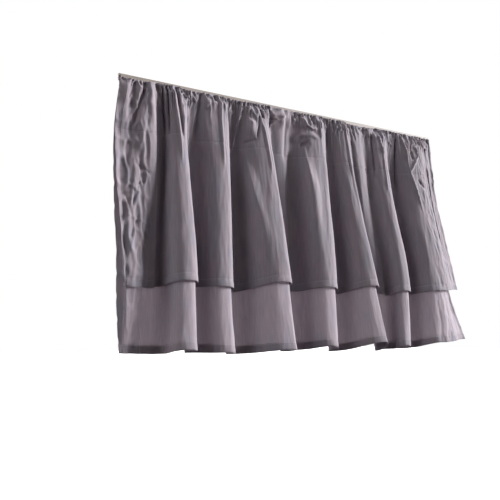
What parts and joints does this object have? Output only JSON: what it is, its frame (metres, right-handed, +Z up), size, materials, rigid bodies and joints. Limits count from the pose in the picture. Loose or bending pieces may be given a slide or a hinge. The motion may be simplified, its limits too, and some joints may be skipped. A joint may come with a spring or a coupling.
{
  "type": "two-tier cafe curtain on a slim rail",
  "caption": "Short gathered window curtain of two overlapping tiers of cloth, hanging from a slim straight rail.",
  "frame": {"origin": "centre of the rail's flat back face, which lies on the wall or window frame", "axes": "+X along the rail, +Y into the wall, +Z up"},
  "size_m": [1.1271, 0.0866, 0.604],
  "materials": {
    "cloth": "crinkled plain weave, matt with a soft sheen",
    "rail": "beige-brown lacquer"
  },
  "bodies": {
    "root": {"rail": "rail", "front_tier": "cloth", "back_tier": "cloth"}
  },
  "joints": []
}
